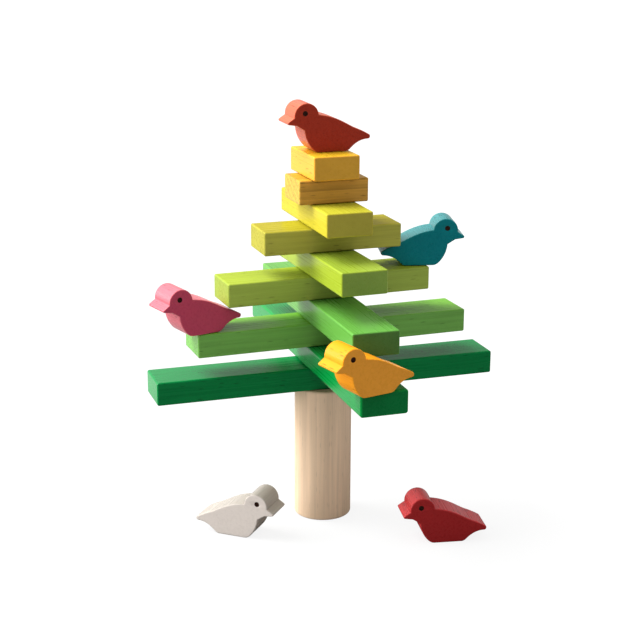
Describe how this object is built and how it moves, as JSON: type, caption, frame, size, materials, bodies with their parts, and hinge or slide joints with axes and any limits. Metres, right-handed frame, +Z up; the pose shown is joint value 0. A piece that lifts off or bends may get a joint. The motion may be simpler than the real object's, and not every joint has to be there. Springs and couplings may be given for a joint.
{
  "type": "balancing tree game",
  "caption": "Wooden stacking game: colour-graded branches laid crosswise balance on a round trunk, and flat cut-out birds perch on the branch ends.",
  "frame": {"origin": "centre of the trunk's foot, on the table", "axes": "+Z up along the stack, +X along the lowest branch, +Y away from the viewer"},
  "size_m": [0.2532, 0.2632, 0.3011],
  "materials": {
    "natural_wood": "bare pale hardwood, fine straight grain, sanded matt",
    "dark_green_stain": "dark green water stain over fine grain, satin",
    "leaf_green_stain": "leaf green water stain over fine grain, satin",
    "lime_stain": "lime water stain over fine grain, satin",
    "yellow_stain": "yellow water stain over fine grain, satin",
    "golden_stain": "golden water stain over fine grain, satin",
    "coral_stain": "coral red water stain, satin",
    "teal_stain": "teal water stain, satin",
    "pink_stain": "deep pink water stain, satin",
    "amber_stain": "amber yellow water stain, satin",
    "white_stain": "thin white wash, satin",
    "red_stain": "deep red water stain, satin"
  },
  "bodies": {
    "trunk": {"trunk": "natural_wood"},
    "branch_01": {"branch_01": "dark_green_stain"},
    "branch_02": {"branch_02": "dark_green_stain"},
    "branch_03": {"branch_03": "leaf_green_stain"},
    "branch_04": {"branch_04": "leaf_green_stain"},
    "branch_05": {"branch_05": "lime_stain"},
    "branch_06": {"branch_06": "lime_stain"},
    "branch_07": {"branch_07": "yellow_stain"},
    "branch_08": {"branch_08": "yellow_stain"},
    "branch_09": {"branch_09": "golden_stain"},
    "branch_10": {"branch_10": "golden_stain"},
    "bird_coral": {"bird_coral": "coral_stain"},
    "bird_teal": {"bird_teal": "teal_stain"},
    "bird_pink": {"bird_pink": "pink_stain"},
    "bird_yellow": {"bird_yellow": "amber_stain"},
    "bird_white": {"bird_white": "white_stain"},
    "bird_red": {"bird_red": "red_stain"}
  },
  "joints": [
    {"name": "branch_01_turn", "type": "hinge", "parent": "trunk", "child": "branch_01", "pos_m": [0, 0, 0.0983], "axis": [0, 0, 1], "continuous": true},
    {"name": "branch_02_turn", "type": "hinge", "parent": "branch_01", "child": "branch_02", "pos_m": [0, 0, 0.1152], "axis": [0, 0, 1], "continuous": true},
    {"name": "branch_03_turn", "type": "hinge", "parent": "branch_02", "child": "branch_03", "pos_m": [0, 0, 0.1321], "axis": [0, 0, 1], "range_deg": [-65, 65]},
    {"name": "branch_04_turn", "type": "hinge", "parent": "branch_03", "child": "branch_04", "pos_m": [0, 0, 0.149], "axis": [0, 0, 1], "range_deg": [-60, 60]},
    {"name": "branch_05_turn", "type": "hinge", "parent": "branch_04", "child": "branch_05", "pos_m": [0, 0, 0.1659], "axis": [0, 0, 1], "continuous": true},
    {"name": "branch_06_turn", "type": "hinge", "parent": "branch_05", "child": "branch_06", "pos_m": [0, 0, 0.1828], "axis": [0, 0, 1], "range_deg": [-50, 50]},
    {"name": "branch_07_turn", "type": "hinge", "parent": "branch_06", "child": "branch_07", "pos_m": [0, 0, 0.1997], "axis": [0, 0, 1], "continuous": true},
    {"name": "branch_08_turn", "type": "hinge", "parent": "branch_07", "child": "branch_08", "pos_m": [0, 0, 0.2166], "axis": [0, 0, 1], "continuous": true},
    {"name": "branch_09_turn", "type": "hinge", "parent": "branch_08", "child": "branch_09", "pos_m": [0, 0, 0.2335], "axis": [0, 0, 1], "continuous": true},
    {"name": "branch_10_turn", "type": "hinge", "parent": "branch_09", "child": "branch_10", "pos_m": [0, 0, 0.2504], "axis": [0, 0, 1], "continuous": true},
    {"name": "bird_coral_lift", "type": "slide", "parent": "branch_10", "child": "bird_coral", "axis": [0, 0, 1], "range_m": [0, 0.06]},
    {"name": "bird_teal_lift", "type": "slide", "parent": "branch_05", "child": "bird_teal", "axis": [0.9397, 0, 0.342], "range_m": [0, 0.08]},
    {"name": "bird_pink_lift", "type": "slide", "parent": "branch_03", "child": "bird_pink", "axis": [-0.9397, 0, 0.342], "range_m": [0, 0.08]},
    {"name": "bird_yellow_lift", "type": "slide", "parent": "branch_02", "child": "bird_yellow", "axis": [0, -0.9397, 0.342], "range_m": [0, 0.08]},
    {"name": "bird_white_lift", "type": "slide", "parent": "trunk", "child": "bird_white", "axis": [0, 0, 1], "range_m": [0, 0.06]},
    {"name": "bird_red_lift", "type": "slide", "parent": "trunk", "child": "bird_red", "axis": [0, 0, 1], "range_m": [0, 0.06]}
  ]
}
